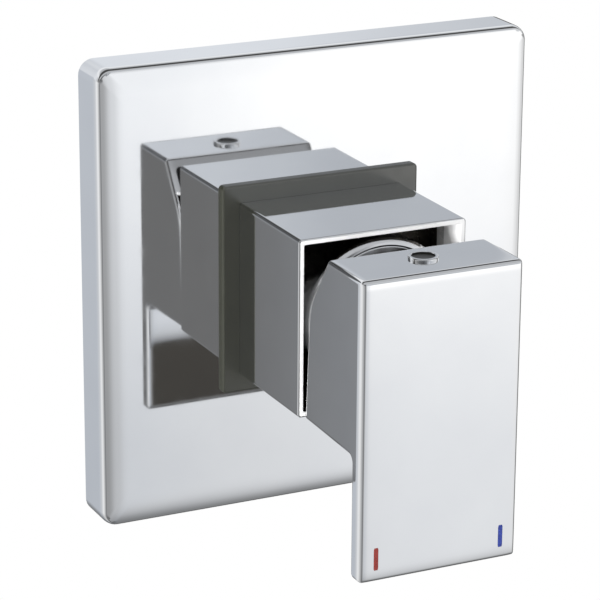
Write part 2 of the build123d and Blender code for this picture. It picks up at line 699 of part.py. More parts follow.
# Lever: cast and chromed, its back sloped so that the top clears the sleeve when lifted
slope_run = sin(radians(back_slope)) / cos(radians(back_slope))
lean_run = (back_low - back_mid) / head_drop
knee_z = (back_mid - head_back_top - slope_run * lever_top) / (lean_run - slope_run)
knee_y = back_mid - lean_run * knee_z
underarm = (paddle_back, -head_drop - underside_droop)
with BuildPart() as lever_handle:
    with BuildSketch(Plane.YZ):
        with BuildLine():
            outline = Polyline(
                (lever_front, lever_top),
                (head_back_top, lever_top),
                (knee_y, knee_z),
                (back_low, -head_drop),
                underarm,
                (paddle_back, -lever_drop),
                (lever_front, -lever_drop),
                close=True,
            )
        make_face()
        knee = vertices().sort_by_distance((knee_y, knee_z, 0))[0]
        fillet(knee, back_round)
        armpit = vertices().sort_by_distance((*underarm, 0))[0]
        fillet(armpit, underarm_round)
    extrude(amount=lever_width / 2, both=True)
    ends = lever_handle.edges().filter_by(Axis.Y).group_by(Axis.Z)[0]
    fillet(ends, lever_end_round)
    sides = lever_handle.faces().filter_by(Axis.X).edges()
    fillet(sides, lever_edge)
    with BuildSketch(Plane.YZ):
        pocket_top = lever_top - head_wall
        pocket_bottom = head_wall - head_drop
        pocket_depth = rim_y - pocket_floor
        with Locations((pocket_floor + pocket_depth / 2, (pocket_top + pocket_bottom) / 2)):
            Rectangle(pocket_depth, pocket_top - pocket_bottom)
    extrude(amount=lever_width / 2 - head_wall, both=True, mode=Mode.SUBTRACT)
    with BuildSketch(facing_user(back_mid - boss_set_back)):
        Rectangle(boss_side, boss_side)
    extrude(amount=back_mid - boss_set_back - pocket_floor)
    with BuildSketch(looking_down(0)):
        with Locations((0, column_y)):
            Circle(column_r)
    extrude(amount=pocket_top)
    with BuildSketch(facing_user(back_mid)):
        socket_side = spindle_side + 2 * socket_fit
        Rectangle(socket_side, socket_side)
    extrude(amount=back_mid - spindle_end + spindle_floor_gap, mode=Mode.SUBTRACT)
    with BuildSketch(looking_down(0)):
        with Locations((0, column_y)):
            Circle(set_screw_r)
    extrude(amount=lever_top, mode=Mode.SUBTRACT)
    with BuildSketch(looking_down(screw_top)):
        with Locations((0, column_y)):
            Circle(key_access_r)
    extrude(amount=lever_top - screw_top, mode=Mode.SUBTRACT)
    with BuildSketch(looking_down(lever_top)):
        with Locations((0, column_y)):
            Circle(cap_stem_r + cap_fit)
    extrude(amount=-cap_stem_depth - cap_fit, mode=Mode.SUBTRACT)
    with BuildSketch(facing_user(lever_front + mark_depth)):
        with Locations((-mark_offset, -mark_drop), (mark_offset, -mark_drop)):
            SlotOverall(mark_length, mark_width, rotation=90)
    extrude(amount=mark_depth, mode=Mode.SUBTRACT)
lever_handle.part.label = "lever_handle"
export_step(lever_handle.part, "parts/lever_handle.step")

# Set screw: clamps the lever on the spindle
with BuildPart() as set_screw:
    with BuildSketch(looking_down(spindle_side / 2)):
        with Locations((0, column_y)):
            Circle(set_screw_r)
    extrude(amount=set_screw_length)
    with BuildSketch(looking_down(screw_top)):
        with Locations((0, column_y)):
            RegularPolygon(set_screw_key / 2, 6, major_radius=False)
    extrude(amount=-key_depth, mode=Mode.SUBTRACT)
set_screw.part.label = "set_screw"
export_step(set_screw.part, "parts/set_screw.step")

# Screw cap: a chromed button pushed into the hole over the set screw
cap_arc_r = (cap_dome_r**2 + cap_dome_rise**2) / (2 * cap_dome_rise)
with BuildPart() as screw_cap:
    with BuildSketch(Plane(origin=(0, column_y, lever_top), x_dir=(1, 0, 0), z_dir=(0, -1, 0))):
        with BuildLine():
            stem = Polyline(
                (0, -cap_stem_depth),
                (cap_stem_r, -cap_stem_depth),
                (cap_stem_r, 0),
                (cap_dome_r, 0),
                (cap_dome_r, cap_edge),
            )
            dome = RadiusArc(stem @ 1, (0, cap_edge + cap_dome_rise), -cap_arc_r)
            Line(dome @ 1, stem @ 0)
        make_face()
    revolve(axis=Axis((0, column_y, 0), (0, 0, 1)))
screw_cap.part.label = "screw_cap"
export_step(screw_cap.part, "parts/screw_cap.step")


# Marks: enamel filled into shallow slots, flush with the paddle's face
def mark(x):
    """A mark whose middle stands at x."""
    with BuildPart() as enamel:
        with BuildSketch(facing_user(lever_front + mark_depth)):
            with Locations((x, -mark_drop)):
                SlotOverall(mark_length, mark_width, rotation=90)
        extrude(amount=mark_depth)
    return enamel.part


hot_mark = mark(-mark_offset)
hot_mark.label = "hot_mark"
export_step(hot_mark, "parts/hot_mark.step")
cold_mark = mark(mark_offset)
cold_mark.label = "cold_mark"
export_step(cold_mark, "parts/cold_mark.step")
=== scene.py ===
"""Concealed single-lever shower mixer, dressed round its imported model. Metres."""
from math import cos, pi, radians, sin, sqrt

import bmesh
import bpy
from mathutils import Matrix, Quaternion, Vector


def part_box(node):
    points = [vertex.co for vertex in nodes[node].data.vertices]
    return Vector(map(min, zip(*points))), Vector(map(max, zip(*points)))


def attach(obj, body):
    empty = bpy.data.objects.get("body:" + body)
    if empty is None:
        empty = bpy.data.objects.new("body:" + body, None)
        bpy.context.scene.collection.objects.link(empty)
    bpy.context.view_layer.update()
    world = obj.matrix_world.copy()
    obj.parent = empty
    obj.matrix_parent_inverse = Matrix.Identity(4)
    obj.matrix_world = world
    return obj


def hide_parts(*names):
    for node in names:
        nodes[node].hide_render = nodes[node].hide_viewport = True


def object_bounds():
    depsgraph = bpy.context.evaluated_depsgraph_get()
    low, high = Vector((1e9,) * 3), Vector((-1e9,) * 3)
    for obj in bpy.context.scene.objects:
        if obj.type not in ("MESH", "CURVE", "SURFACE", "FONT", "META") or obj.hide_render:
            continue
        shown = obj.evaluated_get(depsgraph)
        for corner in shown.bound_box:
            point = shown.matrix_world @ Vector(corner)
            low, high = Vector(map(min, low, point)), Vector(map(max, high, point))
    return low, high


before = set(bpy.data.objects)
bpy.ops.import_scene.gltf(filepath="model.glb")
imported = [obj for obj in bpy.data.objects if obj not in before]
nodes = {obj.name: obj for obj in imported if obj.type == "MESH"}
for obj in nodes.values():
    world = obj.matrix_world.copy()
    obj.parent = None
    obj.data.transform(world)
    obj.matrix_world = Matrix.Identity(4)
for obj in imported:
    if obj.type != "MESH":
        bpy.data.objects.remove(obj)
cad_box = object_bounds()
scene = bpy.context.scene
scene.view_settings.view_transform = "Standard"

# Camera: to the left of the mixer and above it, looking along the photograph's line of
# sight. Its place is measured from the middle of the plate's face.
plate_low, plate_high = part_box("face_plate")
plate_middle = (plate_low + plate_high) / 2
face_centre = Vector((plate_middle.x, plate_low.y, plate_middle.z))
stand_off = Vector((-0.3891, -0.7924, 0.2861))
yaw, pitch, roll = radians(25.78), radians(18.45), radians(0.37)
sight = Vector((sin(yaw) * cos(pitch), cos(yaw) * cos(pitch), -sin(pitch)))
lens = bpy.data.cameras.new("camera")
lens.sensor_width = 36.0
lens.lens = 173.5
lens.clip_start = 0.01
camera = bpy.data.objects.new("camera", lens)
camera.location = face_centre + stand_off
camera.rotation_mode = "QUATERNION"
camera.rotation_quaternion = sight.to_track_quat("-Z", "Y") @ Quaternion((0, 0, 1), roll)
scene.collection.objects.link(camera)
scene.camera = camera


# Studio: white to the camera, plain light for what is dull, and round the chrome a room
# of soft boxes and dark card. A panel has an azimuth, in degrees to the right of the
# user's side, and the grey that it shows in the metal, out of 255, with its coolness.
def card(grey, cool=0.0):
    """The linear colour of a panel that looks this grey, cooler or warmer by this much."""
    shown = (grey - cool, grey, grey + 1.5 * cool)
    return [(max(value, 0.0) / 255) ** 2.2 for value in shown] + [1.0]


studio = bpy.data.worlds.new("studio")
studio.use_nodes = True
scene.world = studio
room = studio.node_tree
toward = room.nodes.new("ShaderNodeTexCoord").outputs["Generated"]
split = room.nodes.new("ShaderNodeSeparateXYZ")
room.links.new(toward, split.inputs[0])


def sum_of(tree, operation, first, second=None):
    """A Math node on sockets or numbers."""
    step = tree.nodes.new("ShaderNodeMath")
    step.operation = operation
    for socket, value in zip(step.inputs, (first, second)):
        if isinstance(value, (int, float)):
            socket.default_value = value
        elif value is not None:
            tree.links.new(value, socket)
    return step.outputs[0]


front = sum_of(room, "MULTIPLY", split.outputs["Y"], -1.0)
azimuth = sum_of(room, "ARCTAN2", split.outputs["X"], front)
turn_share = sum_of(room, "MULTIPLY_ADD", azimuth, 1 / (2 * pi))
turn_share.node.inputs[2].default_value = 0.5
height = sum_of(room, "MULTIPLY", sum_of(room, "ARCSINE", split.outputs["Z"]), 180 / pi)


def panels(stops):
    """One row of panels round the room: (azimuth, grey, coolness) from left to right."""
    ramp = room.nodes.new("ShaderNodeValToRGB")
    ramp.color_ramp.interpolation = "EASE"
    room.links.new(turn_share, ramp.inputs[0])
    elements = ramp.color_ramp.elements
    elements[0].position = 0.0
    elements[1].position = 1.0
    elements[0].color = card(*stops[0][1:])
    elements[1].color = card(*stops[0][1:])
    for degrees_right, grey, cool in stops[1:]:
        elements.new(degrees_right / 360 + 0.5).color = card(grey, cool)
    return ramp.outputs[0]


def fade(tree, below, above, bottom, top, across=None):
    """One colour below a height and the other above it, with a soft change between."""
    share = tree.nodes.new("ShaderNodeMapRange")
    share.interpolation_type = "SMOOTHSTEP"
    share.inputs["From Min"].default_value = bottom
    share.inputs["From Max"].default_value = top
    tree.links.new(across or height, share.inputs["Value"])
    return blend(tree, below, above, share.outputs[0])


def blend(tree, first, second, share):
    """Two colours mixed by a share, each a socket or a colour."""
    mix = tree.nodes.new("ShaderNodeMix")
    mix.data_type = "RGBA"
    for socket, value in ((mix.inputs[0], share), (mix.inputs[6], first), (mix.inputs[7], second)):
        if isinstance(value, bpy.types.NodeSocket):
            tree.links.new(value, socket)
        else:
            socket.default_value = value
    return mix.outputs[2]


ground_row = panels((
    (-180, 100, 2), (-154, 150, 4), (-125, 200, 0), (-98, 190, 0), (-62, 140, 1), (-26.6, 112, 1),
    (-23.8, 100, 0), (14, 106, 1), (22, 113, 2), (30, 120, 1), (75, 100, 0), (110, 80, 0),
    (145, 110, 0),
))
knee_row = panels((
    (-180, 150, 3), (-154, 189, 5), (-140, 197, 3), (-117, 232, 1), (-102, 220, 0), (-84, 182, 1),
    (-42, 140, 1), (-26.6, 134, 2), (-25.2, 119, 1), (-23.8, 109, 0), (-12, 120, 1), (3, 152, 1),
    (15, 190, 2), (22.3, 209, 3), (24.5, 217, 2), (28.6, 230, 2), (36, 231, 1), (50, 210, 0),
    (60, 165, 0), (75, 130, 0), (110, 95, 0), (138, 120, 0), (150, 67, -2), (160, 67, -2),
    (170, 150, 0),
))
waist_row = panels((
    (-180, 160, 3), (-154, 193, 5), (-140, 200, 3), (-117, 236, 1), (-102, 224, 0), (-84, 184, 1),
    (-42, 140, 1), (-26.6, 134, 2), (-25.2, 119, 1), (-23.8, 109, 0), (-12, 120, 1), (3, 165, 1),
    (15, 218, 2), (22.3, 246, 2), (26, 266, 0), (42, 260, 0), (46, 243, 0), (50, 216, 0),
    (60, 168, 0), (75, 130, 0), (110, 100, 0), (135, 130, 0), (150, 76, -3), (160, 78, -3),
    (170, 160, 0),
))
chest_row = panels((
    (-180, 205, 4), (-140, 225, 3), (-95, 160, 0), (-50, 105, 1), (-26, 100, 2), (0, 140, 2),
    (21, 148, 2), (24.5, 152, 2), (28, 190, 2), (40, 232, 0), (60, 225, 2), (95, 180, 2),
    (125, 160, 2), (150, 200, 4), (156, 224, 4),
))
head_row = panels((
    (-180, 205, 4), (-140, 225, 3), (-95, 160, 0), (-50, 100, 1), (-26, 84, 1), (-6, 110, 2),
    (10, 185, 3), (21, 208, 4), (24.8, 201, 4), (26, 184, 4), (29, 186, 4), (40, 200, 3), (60, 212, 2),
    (95, 230, 0), (125, 215, 2), (150, 199, 4), (156, 224, 4),
))
high_row = panels((
    (-180, 236, 2), (-125, 235, 2), (-75, 190, 2), (-35, 70, 0), (-2, 64, 0), (12, 150, 2),
    (26, 205, 2), (60, 200, 2), (110, 206, 2), (150, 234, 2),
))
ceiling = card(184, 2)
seen = ground_row
for row, bottom, top in (
    (knee_row, -44, -20), (waist_row, -22, -13.5), (chest_row, 3, 8), (head_row, 9, 14),
    (high_row, 23, 29), (ceiling, 34, 42),
):
    seen = fade(room, seen, row, bottom, top)
# A dark bar hangs across the ceiling. Rounded top edges draw it as their dark line.
ceiling_bar = card(72)
lean = sum_of(room, "MULTIPLY", sum_of(room, "ARCTAN2", split.outputs["Z"], front), 180 / pi)
over_bar = fade(room, ceiling_bar, seen, 122, 130, across=lean)
seen = fade(room, seen, over_bar, 86, 98, across=lean)
path = room.nodes.new("ShaderNodeLightPath")
dull_light = card(218)
lit = blend(room, dull_light, seen, path.outputs["Is Glossy Ray"])
lit = blend(room, lit, (1.0, 1.0, 1.0, 1.0), path.outputs["Is Camera Ray"])
room.links.new(lit, room.nodes["Background"].inputs["Color"])


def soft_box(name, place, side, power):
    """A square lamp that looks at the mixer. The metal sees the room's panels instead."""
    lamp = bpy.data.lights.new(name, "AREA")
    lamp.size = side
    lamp.energy = power
    box = bpy.data.objects.new(name, lamp)
    box.location = place
    box.rotation_mode = "QUATERNION"
    box.rotation_quaternion = (face_centre - box.location).to_track_quat("-Z", "Y")
    box.visible_glossy = False
    scene.collection.objects.link(box)


soft_box("key_box", Vector((-0.9, -1.0, 0.6)), 0.8, 6.0)
soft_box("side_box", Vector((-1.25, -0.34, 0.03)), 0.4, 26.0)
soft_box("back_box", Vector((0.8, 1.0, 0.7)), 0.8, 4.0)


# Floor: a sheet of pale paper well below the mixer. The camera sees it white, and the metal
# doesn't see it.
def surface(name, colour, roughness, metallic=0.0):
    """A new material with one shader, and the tree and shader to work on."""
    material = bpy.data.materials.new(name)
    material.use_nodes = True
    shader = material.node_tree.nodes["Principled BSDF"]
    shader.inputs["Base Color"].default_value = (*colour, 1.0)
    shader.inputs["Roughness"].default_value = roughness
    shader.inputs["Metallic"].default_value = metallic
    return material, material.node_tree, shader


floor_side, floor_drop = 8.0, 0.30
floor_level = cad_box[0][2] - floor_drop
floor_mesh = bpy.data.meshes.new("floor")
ground = bmesh.new()
bmesh.ops.create_grid(ground, x_segments=1, y_segments=1, size=floor_side / 2)
bmesh.ops.translate(ground, verts=ground.verts, vec=(0, 0, floor_level))
ground.to_mesh(floor_mesh)
ground.free()
floor = bpy.data.objects.new("floor", floor_mesh)
floor.visible_glossy = False
paper, tree, shader = surface("pale_paper", (0.85, 0.85, 0.85), 0.9)
path = tree.nodes.new("ShaderNodeLightPath")
glow = tree.nodes.new("ShaderNodeEmission")
either = tree.nodes.new("ShaderNodeMixShader")
tree.links.new(path.outputs["Is Camera Ray"], either.inputs[0])
tree.links.new(shader.outputs[0], either.inputs[1])
tree.links.new(glow.outputs[0], either.inputs[2])
tree.links.new(either.outputs[0], tree.nodes["Material Output"].inputs["Surface"])
floor_mesh.materials.append(paper)
scene.collection.objects.link(floor)


# Valve body: a brass casting that is built into the wall. Its skin is left as it came out
# of the sand, and the ports' hexagons, the neck and the seat are machined bright.
def grain(tree, size, stretch=(1.0, 1.0, 1.0), detail=3.0):
    """Noise on the piece's own coordinates, with features about this many metres across."""
    place = tree.nodes.new("ShaderNodeTexCoord")
    mapping = tree.nodes.new("ShaderNodeMapping")
    mapping.inputs["Scale"].default_value = stretch
    noise = tree.nodes.new("ShaderNodeTexNoise")
    noise.inputs["Scale"].default_value = 1 / size
    noise.inputs["Detail"].default_value = detail
    tree.links.new(place.outputs["Object"], mapping.inputs["Vector"])
    tree.links.new(mapping.outputs[0], noise.inputs["Vector"])
    return noise.outputs[0]


def spread(tree, source, low, high):
    """The middle of the noise's range spread out between two values."""
    share = tree.nodes.new("ShaderNodeMapRange")
    share.inputs["From Min"].default_value = 0.3
    share.inputs["From Max"].default_value = 0.7
    share.inputs["To Min"].default_value = low
    share.inputs["To Max"].default_value = high
    tree.links.new(source, share.inputs["Value"])
    return share.outputs[0]


def relief(tree, shader, source, depth):
    """Raises the surface by the source, this deep in metres."""
    bump = tree.nodes.new("ShaderNodeBump")
    bump.inputs["Strength"].default_value = 1.0
    bump.inputs["Distance"].default_value = depth
    tree.links.new(source, bump.inputs["Height"])
    tree.links.new(bump.outputs[0], shader.inputs["Normal"])


def mottle(tree, shader, source, dark, light):
    """Colours the surface between a dark and a light tone by the source."""
    tone = blend(tree, (*dark, 1.0), (*light, 1.0), spread(tree, source, 0.0, 1.0))
    tree.links.new(tone, shader.inputs["Base Color"])


brass_dark, brass_light = (0.52, 0.36, 0.15), (0.80, 0.62, 0.34)
cast_brass, tree, shader = surface("cast_brass", brass_light, 0.5, 1.0)
mottle(tree, shader, grain(tree, 0.012), brass_dark, brass_light)
axes = tree.nodes.new("ShaderNodeSeparateXYZ")
tree.links.new(tree.nodes.new("ShaderNodeTexCoord").outputs["Object"], axes.inputs[0])
port_hex_start, neck_start, lug_front = 0.0355, 0.0, 0.044
machined_x = sum_of(tree, "GREATER_THAN", sum_of(tree, "ABSOLUTE", axes.outputs["X"]), port_hex_start)
machined_z = sum_of(tree, "GREATER_THAN", sum_of(tree, "ABSOLUTE", axes.outputs["Z"]), port_hex_start)
machined_y = sum_of(tree, "LESS_THAN", axes.outputs["Y"], neck_start)
not_lug = sum_of(tree, "LESS_THAN", axes.outputs["Y"], lug_front)
machined = sum_of(tree, "MULTIPLY", sum_of(tree, "MAXIMUM", machined_x, machined_z), not_lug)
machined = sum_of(tree, "MAXIMUM", machined, machined_y)
sand = grain(tree, 0.0012, detail=6.0)
sand_left = sum_of(tree, "MULTIPLY", sand, sum_of(tree, "SUBTRACT", 1.0, machined))
relief(tree, shader, sand_left, 0.00030)
rough_cast = spread(tree, grain(tree, 0.004), 0.42, 0.62)
rough_cut = spread(tree, grain(tree, 0.003), 0.16, 0.28)
roughness = sum_of(tree, "MULTIPLY_ADD", sum_of(tree, "SUBTRACT", rough_cut, rough_cast), machined)
tree.links.new(rough_cast, roughness.node.inputs[2])
tree.links.new(roughness, shader.inputs["Roughness"])


def dress(node, material):
    """Gives a CAD node this material alone."""
    nodes[node].data.materials.clear()
    nodes[node].data.materials.append(material)


dress("valve_body", cast_brass)


# Pipe threads: cut in the mouths of the two inlets and the upper outlet, half inch, with
# fourteen turns to the inch. One ridge winds down each bore.
inch = 0.0254
thread_pitch, thread_turns, thread_height = inch / 14, 6, 0.0009
port_bore_r, port_y, port_reach = 0.0093, 0.029, 0.048
thread_start = 0.0022
turned_brass, tree, shader = surface("turned_brass", brass_light, 0.2, 1.0)
mottle(tree, shader, grain(tree, 0.01), (0.66, 0.48, 0.23), (0.84, 0.67, 0.38))
tree.links.new(spread(tree, grain(tree, 0.003), 0.14, 0.26), shader.inputs["Roughness"])
relief(tree, shader, grain(tree, 0.0008, detail=1.0), 0.00001)

ridge_tree = bpy.data.node_groups.new("port_thread", "GeometryNodeTree")
ridge_tree.interface.new_socket("Geometry", in_out="OUTPUT", socket_type="NodeSocketGeometry")
inputs = {}
for label in ("Bore radius", "Pitch", "Turns", "Ridge height", "Port reach", "Port depth"):
    socket = ridge_tree.interface.new_socket(label, in_out="INPUT", socket_type="NodeSocketFloat")
    inputs[label] = socket.identifier
given = ridge_tree.nodes.new("NodeGroupInput")
spiral = ridge_tree.nodes.new("GeometryNodeCurveSpiral")
spiral.inputs["Resolution"].default_value = 40
length = sum_of(ridge_tree, "MULTIPLY", given.outputs["Pitch"], given.outputs["Turns"])
ridge_tree.links.new(given.outputs["Turns"], spiral.inputs["Rotations"])
ridge_tree.links.new(given.outputs["Bore radius"], spiral.inputs["Start Radius"])
ridge_tree.links.new(given.outputs["Bore radius"], spiral.inputs["End Radius"])
ridge_tree.links.new(length, spiral.inputs["Height"])
section = ridge_tree.nodes.new("GeometryNodeCurvePrimitiveCircle")
section.inputs["Resolution"].default_value = 4
ridge_tree.links.new(given.outputs["Ridge height"], section.inputs["Radius"])
swept = ridge_tree.nodes.new("GeometryNodeCurveToMesh")
ridge_tree.links.new(spiral.outputs[0], swept.inputs["Curve"])
ridge_tree.links.new(section.outputs[0], swept.inputs["Profile Curve"])
swept.inputs["Fill Caps"].default_value = True
joined = ridge_tree.nodes.new("GeometryNodeJoinGeometry")
hot_side, cold_side, upward = -pi / 2, pi / 2, 0.0
for turn in (hot_side, cold_side, upward):
    out = Matrix.Rotation(turn, 3, "Y") @ Vector((0, 0, 1))
    reach = ridge_tree.nodes.new("ShaderNodeVectorMath")
    reach.operation = "SCALE"
    reach.inputs[0].default_value = out
    inner_end = sum_of(ridge_tree, "SUBTRACT", given.outputs["Port reach"], length)
    ridge_tree.links.new(inner_end, reach.inputs["Scale"])
    depth = ridge_tree.nodes.new("ShaderNodeCombineXYZ")
    ridge_tree.links.new(given.outputs["Port depth"], depth.inputs["Y"])
    place = ridge_tree.nodes.new("ShaderNodeVectorMath")
    place.operation = "ADD"
    ridge_tree.links.new(reach.outputs[0], place.inputs[0])
    ridge_tree.links.new(depth.outputs[0], place.inputs[1])
    moved = ridge_tree.nodes.new("GeometryNodeTransform")
    moved.inputs["Rotation"].default_value = (0, turn, 0)
    ridge_tree.links.new(swept.outputs[0], moved.inputs["Geometry"])
    ridge_tree.links.new(place.outputs[0], moved.inputs["Translation"])
    ridge_tree.links.new(moved.outputs[0], joined.inputs[0])
realized = ridge_tree.nodes.new("GeometryNodeRealizeInstances")
coloured = ridge_tree.nodes.new("GeometryNodeSetMaterial")
coloured.inputs["Material"].default_value = turned_brass
ridge_tree.links.new(joined.outputs[0], realized.inputs[0])
ridge_tree.links.new(realized.outputs[0], coloured.inputs["Geometry"])
leaving = ridge_tree.nodes.new("NodeGroupOutput")
ridge_tree.links.new(coloured.outputs[0], leaving.inputs[0])


def settled(piece):
    """The piece with its modifiers turned into a plain mesh."""
    graph = bpy.context.evaluated_depsgraph_get()
    mesh = bpy.data.meshes.new_from_object(piece.evaluated_get(graph))
    piece.modifiers.clear()
    piece.data = mesh
    return piece


port_threads = bpy.data.objects.new("port_threads", bpy.data.meshes.new("port_threads"))
scene.collection.objects.link(port_threads)
winding = port_threads.modifiers.new("winding", "NODES")
winding.node_group = ridge_tree
winding[inputs["Bore radius"]] = port_bore_r
winding[inputs["Pitch"]] = thread_pitch
winding[inputs["Turns"]] = float(thread_turns)
winding[inputs["Ridge height"]] = thread_height / 2
winding[inputs["Port reach"]] = port_reach - thread_start
winding[inputs["Port depth"]] = port_y
settled(port_threads)
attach(port_threads, "valve")

# Outlet plug: a turned brass plug with a hexagon socket that closes the lower outlet, on
# a rubber ring.
dress("outlet_plug", turned_brass)
black_rubber, tree, shader = surface("black_rubber", (0.02, 0.02, 0.021), 0.45)
tree.links.new(spread(tree, grain(tree, 0.002), 0.38, 0.55), shader.inputs["Roughness"])
mottle(tree, shader, grain(tree, 0.004), (0.014, 0.014, 0.015), (0.03, 0.03, 0.031))
relief(tree, shader, grain(tree, 0.0004), 0.00001)
dress("plug_o_ring", black_rubber)

# Wall seal: a frame of closed-cell foam inside the plate's rim, squeezed on the tiles.
foam, tree, shader = surface("foam", (0.1, 0.1, 0.105), 0.9)
cells = tree.nodes.new("ShaderNodeTexVoronoi")
cells.inputs["Scale"].default_value = 900.0
tree.links.new(tree.nodes.new("ShaderNodeTexCoord").outputs["Object"], cells.inputs["Vector"])
mottle(tree, shader, grain(tree, 0.005), (0.075, 0.075, 0.08), (0.13, 0.13, 0.135))
relief(tree, shader, cells.outputs["Distance"], 0.0004)
tree.links.new(spread(tree, cells.outputs["Distance"], 0.8, 0.98), shader.inputs["Roughness"])
dress("wall_seal", foam)


# Face plate: a square brass tray, pressed, polished and chromed. It slides over the neck
# and stands on the tiles, with the gasket in its square hole.
def chrome(name, sharpness, waviness):
    """Polished chrome plate: slight colour and gloss drift, and a polisher's faint waves."""
    material, tree, shader = surface(name, (0.95, 0.955, 0.965), sharpness, 1.0)
    mottle(tree, shader, grain(tree, 0.02), (0.935, 0.94, 0.95), (0.965, 0.97, 0.975))
    drift = spread(tree, grain(tree, 0.006), 0.6 * sharpness, 1.4 * sharpness)
    tree.links.new(drift, shader.inputs["Roughness"])
    relief(tree, shader, grain(tree, 0.03, detail=1.0), waviness)
    return material


plate_chrome = chrome("plate_chrome", 0.035, 0.00001)
tray_inside, tree, shader = surface("tray_inside", (0.55, 0.56, 0.57), 0.4, 1.0)
mottle(tree, shader, grain(tree, 0.008), (0.45, 0.46, 0.47), (0.62, 0.63, 0.64))
relief(tree, shader, grain(tree, 0.0006), 0.00004)


def square_loop(half, corner, y, middle_z=0.0, half_z=None, steps=8):
    """Points round a square with rounded corners, in a plane across the cartridge axis."""
    half_z = half_z or half
    points = []
    for quarter in range(4):
        for step in range(steps + 1):
            angle = pi / 2 * (quarter + step / steps)
            side_x = 1 if quarter in (0, 3) else -1
            side_z = 1 if quarter in (0, 1) else -1
            x = side_x * (half - corner) + corner * cos(angle)
            z = side_z * (half_z - corner) + corner * sin(angle)
            points.append(Vector((x, y, middle_z + z)))
    return points


def skin(name, loops, materials, closed=False, finish=None):
    """A mesh piece through loops of as many points each. A closed one is a ring in section.
    Finish gives bands, by number, one of the later materials."""
    made = bmesh.new()
    rows = [[made.verts.new(point) for point in loop] for loop in loops]
    count = len(rows[0])
    pairs = list(zip(rows, rows[1:]))
    if closed:
        pairs.append((rows[-1], rows[0]))
    for band, (first, second) in enumerate(pairs):
        for k in range(count):
            n = (k + 1) % count
            face = made.faces.new((first[k], first[n], second[n], second[k]))
            face.material_index = (finish or {}).get(band, 0)
    if not closed:
        made.faces.new(rows[0])
        made.faces.new(rows[-1])
    bmesh.ops.recalc_face_normals(made, faces=made.faces)
    mesh = bpy.data.meshes.new(name)
    made.to_mesh(mesh)
    made.free()
    for material in materials:
        mesh.materials.append(material)
    piece = bpy.data.objects.new(name, mesh)
    scene.collection.objects.link(piece)
    return piece


def polished(piece, sharp_from=34.0):
    """Smooth shading with true flats: only edges sharper than this many degrees stay sharp."""
    mesh = piece.data
    mesh.polygons.foreach_set("use_smooth", [True] * len(mesh.polygons))
    mesh.set_sharp_from_angle(angle=radians(sharp_from))
    weighing = piece.modifiers.new("flats", "WEIGHTED_NORMAL")
    weighing.keep_sharp = True
    weighing.weight = 100
    return settled(piece)


def rolled(distance, width, slope):
    """How far the wheel has taken a face down at this distance from its rounded edge."""
    return slope * width / 3 * max(1 - distance / width, 0.0) ** 3


def quarter_round(radius, steps, depth=None):
    """Points on a rounded edge: (how far in from the side, how far back from the face)."""
    for step in range(steps + 1):
        angle = pi / 2 * step / steps
        yield radius * (1 - cos(angle)), (depth or radius) * (1 - sin(angle))


plate_half = (plate_high.x - plate_low.x) / 2
plate_back, plate_face = plate_high.y, plate_low.y
plate_rise = plate_middle.z
plate_corner, face_corner = 0.005, 0.0028
plate_edge, plate_edge_depth = 0.0012, 0.0035
plate_wall, rim_round = 0.002, 0.0003
roll_width, roll_slope = 0.009, 0.19
spigot_half, spigot_fit = 0.0316, 0.0002
hole_half, hole_corner = spigot_half + spigot_fit, 0.0015
plate_loops = [
    square_loop(plate_half - rim_round, plate_corner, plate_back, plate_rise),
    square_loop(plate_half, plate_corner, plate_back - rim_round, plate_rise),
]
for inset, back in quarter_round(plate_edge, 14, plate_edge_depth):
    y = plate_face + rolled(0.0, roll_width, roll_slope) + back
    plate_loops.append(square_loop(plate_half - inset, plate_corner - inset, y, plate_rise))
for distance in (0.0003, 0.0007, 0.0012, 0.0018, 0.0025, 0.0035, 0.0047, 0.006, 0.0075, roll_width):
    y = plate_face + rolled(distance, roll_width, roll_slope)
    plate_loops.append(square_loop(plate_half - plate_edge - distance, face_corner, y, plate_rise))
plate_loops += [
    square_loop(hole_half + rim_round, hole_corner, plate_face),
    square_loop(hole_half, hole_corner, plate_face + rim_round),
    square_loop(hole_half, hole_corner, plate_face + plate_wall),
]
inner_start = len(plate_loops) - 1
inner_half, inner_corner = plate_half - plate_wall, plate_corner - plate_wall
for half, y in (
    (inner_half - plate_wall / 2, plate_face + plate_wall),
    (inner_half, plate_face + 1.5 * plate_wall),
    (inner_half, plate_back),
):
    plate_loops.append(square_loop(half, inner_corner, y, plate_rise))
plate_finish = {band: 1 for band in range(inner_start, len(plate_loops) - 1)}
plate_shell = skin("plate_shell", plate_loops, (plate_chrome, tray_inside), True, plate_finish)
polished(plate_shell)
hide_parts("face_plate")
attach(plate_shell, "valve")

# Gasket: a moulded frame of smooth dark rubber on the plate's face. Its spigot goes through
# the plate's hole and grips the sleeve.
gasket_rubber, tree, shader = surface("gasket_rubber", (0.017, 0.018, 0.010), 0.30)
shader.inputs["IOR"].default_value = 1.75
shader.inputs["Specular IOR Level"].default_value = 1.0
mottle(tree, shader, grain(tree, 0.009), (0.016, 0.017, 0.009), (0.020, 0.021, 0.012))
tree.links.new(spread(tree, grain(tree, 0.004, detail=0.0), 0.28, 0.33), shader.inputs["Roughness"])
relief(tree, shader, grain(tree, 0.006, detail=0.0), 0.000004)
sleeve_low, sleeve_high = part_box("square_sleeve")
sleeve_half = (sleeve_high.x - sleeve_low.x) / 2
sleeve_corner = 0.0012
gasket_low, gasket_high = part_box("sleeve_gasket")
gasket_half = (gasket_high.x - gasket_low.x) / 2
gasket_corner, gasket_edge, gasket_lip = 0.0015, 0.0008, 0.00005
gasket_loops = [square_loop(gasket_half, gasket_corner, plate_face)]
for inset, back in quarter_round(gasket_edge, 6):
    gasket_loops.append(square_loop(gasket_half - inset, gasket_corner - inset, gasket_low.y + back))
